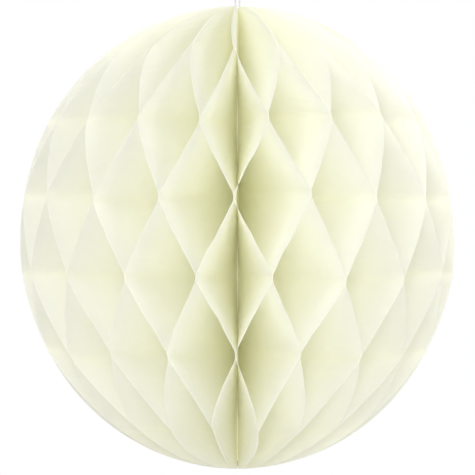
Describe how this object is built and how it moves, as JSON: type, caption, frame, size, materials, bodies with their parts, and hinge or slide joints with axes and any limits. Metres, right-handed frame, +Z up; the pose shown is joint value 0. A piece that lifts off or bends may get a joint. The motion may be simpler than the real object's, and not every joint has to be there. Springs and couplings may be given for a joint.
{
  "type": "paper honeycomb ball",
  "caption": "Hanging tissue-paper honeycomb ball: half-disc leaves glued in alternating rows, fanned out round a bound spine, that fold to a flat half disc between two card covers.",
  "frame": {"origin": "the middle of the ball, on the axis of its bound spine", "axes": "+Z up along the spine towards the hanging loop; -Y is the front; the two covers meet at the back, +Y"},
  "size_m": [0.1876, 0.1876, 0.2472],
  "materials": {
    "cream_tissue": "thin translucent tissue",
    "cover_card": "uncoated card",
    "adhesive_film": "clear double-sided film",
    "glued_paper": "glue-stiffened paper edges",
    "cotton_thread": "twisted thread"
  },
  "bodies": {
    "spine": {"spine_binding": "glued_paper", "spine_thread": "cotton_thread", "bottom_knot": "cotton_thread", "hanging_loop": "cotton_thread"},
    "cover_left": {"cover_left": "cover_card"},
    "cover_right": {"cover_right": "cover_card", "adhesive_strips": "adhesive_film"},
    "leaf_01": {"tissue_leaf_01": "cream_tissue"},
    "leaf_02": {"tissue_leaf_02": "cream_tissue"},
    "leaf_03": {"tissue_leaf_03": "cream_tissue"},
    "leaf_04": {"tissue_leaf_04": "cream_tissue"},
    "leaf_05": {"tissue_leaf_05": "cream_tissue"},
    "leaf_06": {"tissue_leaf_06": "cream_tissue"},
    "leaf_07": {"tissue_leaf_07": "cream_tissue"},
    "leaf_08": {"tissue_leaf_08": "cream_tissue"},
    "leaf_09": {"tissue_leaf_09": "cream_tissue"},
    "leaf_10": {"tissue_leaf_10": "cream_tissue"},
    "leaf_11": {"tissue_leaf_11": "cream_tissue"},
    "leaf_12": {"tissue_leaf_12": "cream_tissue"},
    "leaf_13": {"tissue_leaf_13": "cream_tissue"},
    "leaf_14": {"tissue_leaf_14": "cream_tissue"},
    "leaf_15": {"tissue_leaf_15": "cream_tissue"},
    "leaf_16": {"tissue_leaf_16": "cream_tissue"},
    "leaf_17": {"tissue_leaf_17": "cream_tissue"},
    "leaf_18": {"tissue_leaf_18": "cream_tissue"},
    "leaf_19": {"tissue_leaf_19": "cream_tissue"},
    "leaf_20": {"tissue_leaf_20": "cream_tissue"},
    "leaf_21": {"tissue_leaf_21": "cream_tissue"},
    "leaf_22": {"tissue_leaf_22": "cream_tissue"},
    "leaf_23": {"tissue_leaf_23": "cream_tissue"},
    "leaf_24": {"tissue_leaf_24": "cream_tissue"},
    "leaf_25": {"tissue_leaf_25": "cream_tissue"},
    "leaf_26": {"tissue_leaf_26": "cream_tissue"},
    "leaf_27": {"tissue_leaf_27": "cream_tissue"},
    "leaf_28": {"tissue_leaf_28": "cream_tissue"},
    "leaf_29": {"tissue_leaf_29": "cream_tissue"},
    "leaf_30": {"tissue_leaf_30": "cream_tissue"},
    "leaf_31": {"tissue_leaf_31": "cream_tissue"},
    "leaf_32": {"tissue_leaf_32": "cream_tissue"},
    "leaf_33": {"tissue_leaf_33": "cream_tissue"},
    "leaf_34": {"tissue_leaf_34": "cream_tissue"},
    "leaf_35": {"tissue_leaf_35": "cream_tissue"},
    "leaf_36": {"tissue_leaf_36": "cream_tissue"}
  },
  "joints": [
    {"name": "fold_cover_left", "type": "hinge", "parent": "spine", "child": "cover_left", "pos_m": [-0.00075, 0, 0], "axis": [0, 0, 1], "range_deg": [0, 178.8]},
    {"name": "fold_cover_right", "type": "hinge", "parent": "spine", "child": "cover_right", "pos_m": [0.00075, 0, 0], "axis": [0, 0, 1], "range_deg": [-178.8, 0]},
    {"name": "fold_leaf_01", "type": "hinge", "parent": "spine", "child": "leaf_01", "pos_m": [0, 0, 0], "axis": [0, 0, 1], "range_deg": [0, 173.83], "deforming": ["tissue_leaf_01"]},
    {"name": "fold_leaf_02", "type": "hinge", "parent": "spine", "child": "leaf_02", "pos_m": [0, 0, 0], "axis": [0, 0, 1], "range_deg": [0, 163.9], "deforming": ["tissue_leaf_02"]},
    {"name": "fold_leaf_03", "type": "hinge", "parent": "spine", "child": "leaf_03", "pos_m": [0, 0, 0], "axis": [0, 0, 1], "range_deg": [0, 153.97], "deforming": ["tissue_leaf_03"]},
    {"name": "fold_leaf_04", "type": "hinge", "parent": "spine", "child": "leaf_04", "pos_m": [0, 0, 0], "axis": [0, 0, 1], "range_deg": [0, 144.03], "deforming": ["tissue_leaf_04"]},
    {"name": "fold_leaf_05", "type": "hinge", "parent": "spine", "child": "leaf_05", "pos_m": [0, 0, 0], "axis": [0, 0, 1], "range_deg": [0, 134.1], "deforming": ["tissue_leaf_05"]},
    {"name": "fold_leaf_06", "type": "hinge", "parent": "spine", "child": "leaf_06", "pos_m": [0, 0, 0], "axis": [0, 0, 1], "range_deg": [0, 124.17], "deforming": ["tissue_leaf_06"]},
    {"name": "fold_leaf_07", "type": "hinge", "parent": "spine", "child": "leaf_07", "pos_m": [0, 0, 0], "axis": [0, 0, 1], "range_deg": [0, 114.23], "deforming": ["tissue_leaf_07"]},
    {"name": "fold_leaf_08", "type": "hinge", "parent": "spine", "child": "leaf_08", "pos_m": [0, 0, 0], "axis": [0, 0, 1], "range_deg": [0, 104.3], "deforming": ["tissue_leaf_08"]},
    {"name": "fold_leaf_09", "type": "hinge", "parent": "spine", "child": "leaf_09", "pos_m": [0, 0, 0], "axis": [0, 0, 1], "range_deg": [0, 94.37], "deforming": ["tissue_leaf_09"]},
    {"name": "fold_leaf_10", "type": "hinge", "parent": "spine", "child": "leaf_10", "pos_m": [0, 0, 0], "axis": [0, 0, 1], "range_deg": [0, 84.43], "deforming": ["tissue_leaf_10"]},
    {"name": "fold_leaf_11", "type": "hinge", "parent": "spine", "child": "leaf_11", "pos_m": [0, 0, 0], "axis": [0, 0, 1], "range_deg": [0, 74.5], "deforming": ["tissue_leaf_11"]},
    {"name": "fold_leaf_12", "type": "hinge", "parent": "spine", "child": "leaf_12", "pos_m": [0, 0, 0], "axis": [0, 0, 1], "range_deg": [0, 64.57], "deforming": ["tissue_leaf_12"]},
    {"name": "fold_leaf_13", "type": "hinge", "parent": "spine", "child": "leaf_13", "pos_m": [0, 0, 0], "axis": [0, 0, 1], "range_deg": [0, 54.63], "deforming": ["tissue_leaf_13"]},
    {"name": "fold_leaf_14", "type": "hinge", "parent": "spine", "child": "leaf_14", "pos_m": [0, 0, 0], "axis": [0, 0, 1], "range_deg": [0, 44.7], "deforming": ["tissue_leaf_14"]},
    {"name": "fold_leaf_15", "type": "hinge", "parent": "spine", "child": "leaf_15", "pos_m": [0, 0, 0], "axis": [0, 0, 1], "range_deg": [0, 34.77], "deforming": ["tissue_leaf_15"]},
    {"name": "fold_leaf_16", "type": "hinge", "parent": "spine", "child": "leaf_16", "pos_m": [0, 0, 0], "axis": [0, 0, 1], "range_deg": [0, 24.83], "deforming": ["tissue_leaf_16"]},
    {"name": "fold_leaf_17", "type": "hinge", "parent": "spine", "child": "leaf_17", "pos_m": [0, 0, 0], "axis": [0, 0, 1], "range_deg": [0, 14.9], "deforming": ["tissue_leaf_17"]},
    {"name": "fold_leaf_18", "type": "hinge", "parent": "spine", "child": "leaf_18", "pos_m": [0, 0, 0], "axis": [0, 0, 1], "range_deg": [0, 4.97], "deforming": ["tissue_leaf_18"]},
    {"name": "fold_leaf_19", "type": "hinge", "parent": "spine", "child": "leaf_19", "pos_m": [0, 0, 0], "axis": [0, 0, 1], "range_deg": [-4.97, 0], "deforming": ["tissue_leaf_19"]},
    {"name": "fold_leaf_20", "type": "hinge", "parent": "spine", "child": "leaf_20", "pos_m": [0, 0, 0], "axis": [0, 0, 1], "range_deg": [-14.9, 0], "deforming": ["tissue_leaf_20"]},
    {"name": "fold_leaf_21", "type": "hinge", "parent": "spine", "child": "leaf_21", "pos_m": [0, 0, 0], "axis": [0, 0, 1], "range_deg": [-24.83, 0], "deforming": ["tissue_leaf_21"]},
    {"name": "fold_leaf_22", "type": "hinge", "parent": "spine", "child": "leaf_22", "pos_m": [0, 0, 0], "axis": [0, 0, 1], "range_deg": [-34.77, 0], "deforming": ["tissue_leaf_22"]},
    {"name": "fold_leaf_23", "type": "hinge", "parent": "spine", "child": "leaf_23", "pos_m": [0, 0, 0], "axis": [0, 0, 1], "range_deg": [-44.7, 0], "deforming": ["tissue_leaf_23"]},
    {"name": "fold_leaf_24", "type": "hinge", "parent": "spine", "child": "leaf_24", "pos_m": [0, 0, 0], "axis": [0, 0, 1], "range_deg": [-54.63, 0], "deforming": ["tissue_leaf_24"]},
    {"name": "fold_leaf_25", "type": "hinge", "parent": "spine", "child": "leaf_25", "pos_m": [0, 0, 0], "axis": [0, 0, 1], "range_deg": [-64.57, 0], "deforming": ["tissue_leaf_25"]},
    {"name": "fold_leaf_26", "type": "hinge", "parent": "spine", "child": "leaf_26", "pos_m": [0, 0, 0], "axis": [0, 0, 1], "range_deg": [-74.5, 0], "deforming": ["tissue_leaf_26"]},
    {"name": "fold_leaf_27", "type": "hinge", "parent": "spine", "child": "leaf_27", "pos_m": [0, 0, 0], "axis": [0, 0, 1], "range_deg": [-84.43, 0], "deforming": ["tissue_leaf_27"]},
    {"name": "fold_leaf_28", "type": "hinge", "parent": "spine", "child": "leaf_28", "pos_m": [0, 0, 0], "axis": [0, 0, 1], "range_deg": [-94.37, 0], "deforming": ["tissue_leaf_28"]},
    {"name": "fold_leaf_29", "type": "hinge", "parent": "spine", "child": "leaf_29", "pos_m": [0, 0, 0], "axis": [0, 0, 1], "range_deg": [-104.3, 0], "deforming": ["tissue_leaf_29"]},
    {"name": "fold_leaf_30", "type": "hinge", "parent": "spine", "child": "leaf_30", "pos_m": [0, 0, 0], "axis": [0, 0, 1], "range_deg": [-114.23, 0], "deforming": ["tissue_leaf_30"]},
    {"name": "fold_leaf_31", "type": "hinge", "parent": "spine", "child": "leaf_31", "pos_m": [0, 0, 0], "axis": [0, 0, 1], "range_deg": [-124.17, 0], "deforming": ["tissue_leaf_31"]},
    {"name": "fold_leaf_32", "type": "hinge", "parent": "spine", "child": "leaf_32", "pos_m": [0, 0, 0], "axis": [0, 0, 1], "range_deg": [-134.1, 0], "deforming": ["tissue_leaf_32"]},
    {"name": "fold_leaf_33", "type": "hinge", "parent": "spine", "child": "leaf_33", "pos_m": [0, 0, 0], "axis": [0, 0, 1], "range_deg": [-144.03, 0], "deforming": ["tissue_leaf_33"]},
    {"name": "fold_leaf_34", "type": "hinge", "parent": "spine", "child": "leaf_34", "pos_m": [0, 0, 0], "axis": [0, 0, 1], "range_deg": [-153.97, 0], "deforming": ["tissue_leaf_34"]},
    {"name": "fold_leaf_35", "type": "hinge", "parent": "spine", "child": "leaf_35", "pos_m": [0, 0, 0], "axis": [0, 0, 1], "range_deg": [-163.9, 0], "deforming": ["tissue_leaf_35"]},
    {"name": "fold_leaf_36", "type": "hinge", "parent": "spine", "child": "leaf_36", "pos_m": [0, 0, 0], "axis": [0, 0, 1], "range_deg": [-173.83, 0], "deforming": ["tissue_leaf_36"]}
  ],
  "couplings": [
    {"joint": "fold_cover_right", "follows": "fold_cover_left", "ratio": -1},
    {"joint": "fold_leaf_01", "follows": "fold_cover_left", "ratio": 0.97222},
    {"joint": "fold_leaf_02", "follows": "fold_cover_left", "ratio": 0.91667},
    {"joint": "fold_leaf_03", "follows": "fold_cover_left", "ratio": 0.86111},
    {"joint": "fold_leaf_04", "follows": "fold_cover_left", "ratio": 0.80556},
    {"joint": "fold_leaf_05", "follows": "fold_cover_left", "ratio": 0.75},
    {"joint": "fold_leaf_06", "follows": "fold_cover_left", "ratio": 0.69444},
    {"joint": "fold_leaf_07", "follows": "fold_cover_left", "ratio": 0.63889},
    {"joint": "fold_leaf_08", "follows": "fold_cover_left", "ratio": 0.58333},
    {"joint": "fold_leaf_09", "follows": "fold_cover_left", "ratio": 0.52778},
    {"joint": "fold_leaf_10", "follows": "fold_cover_left", "ratio": 0.47222},
    {"joint": "fold_leaf_11", "follows": "fold_cover_left", "ratio": 0.41667},
    {"joint": "fold_leaf_12", "follows": "fold_cover_left", "ratio": 0.36111},
    {"joint": "fold_leaf_13", "follows": "fold_cover_left", "ratio": 0.30556},
    {"joint": "fold_leaf_14", "follows": "fold_cover_left", "ratio": 0.25},
    {"joint": "fold_leaf_15", "follows": "fold_cover_left", "ratio": 0.19444},
    {"joint": "fold_leaf_16", "follows": "fold_cover_left", "ratio": 0.13889},
    {"joint": "fold_leaf_17", "follows": "fold_cover_left", "ratio": 0.083333},
    {"joint": "fold_leaf_18", "follows": "fold_cover_left", "ratio": 0.027778},
    {"joint": "fold_leaf_19", "follows": "fold_cover_left", "ratio": -0.027778},
    {"joint": "fold_leaf_20", "follows": "fold_cover_left", "ratio": -0.083333},
    {"joint": "fold_leaf_21", "follows": "fold_cover_left", "ratio": -0.13889},
    {"joint": "fold_leaf_22", "follows": "fold_cover_left", "ratio": -0.19444},
    {"joint": "fold_leaf_23", "follows": "fold_cover_left", "ratio": -0.25},
    {"joint": "fold_leaf_24", "follows": "fold_cover_left", "ratio": -0.30556},
    {"joint": "fold_leaf_25", "follows": "fold_cover_left", "ratio": -0.36111},
    {"joint": "fold_leaf_26", "follows": "fold_cover_left", "ratio": -0.41667},
    {"joint": "fold_leaf_27", "follows": "fold_cover_left", "ratio": -0.47222},
    {"joint": "fold_leaf_28", "follows": "fold_cover_left", "ratio": -0.52778},
    {"joint": "fold_leaf_29", "follows": "fold_cover_left", "ratio": -0.58333},
    {"joint": "fold_leaf_30", "follows": "fold_cover_left", "ratio": -0.63889},
    {"joint": "fold_leaf_31", "follows": "fold_cover_left", "ratio": -0.69444},
    {"joint": "fold_leaf_32", "follows": "fold_cover_left", "ratio": -0.75},
    {"joint": "fold_leaf_33", "follows": "fold_cover_left", "ratio": -0.80556},
    {"joint": "fold_leaf_34", "follows": "fold_cover_left", "ratio": -0.86111},
    {"joint": "fold_leaf_35", "follows": "fold_cover_left", "ratio": -0.91667},
    {"joint": "fold_leaf_36", "follows": "fold_cover_left", "ratio": -0.97222}
  ]
}
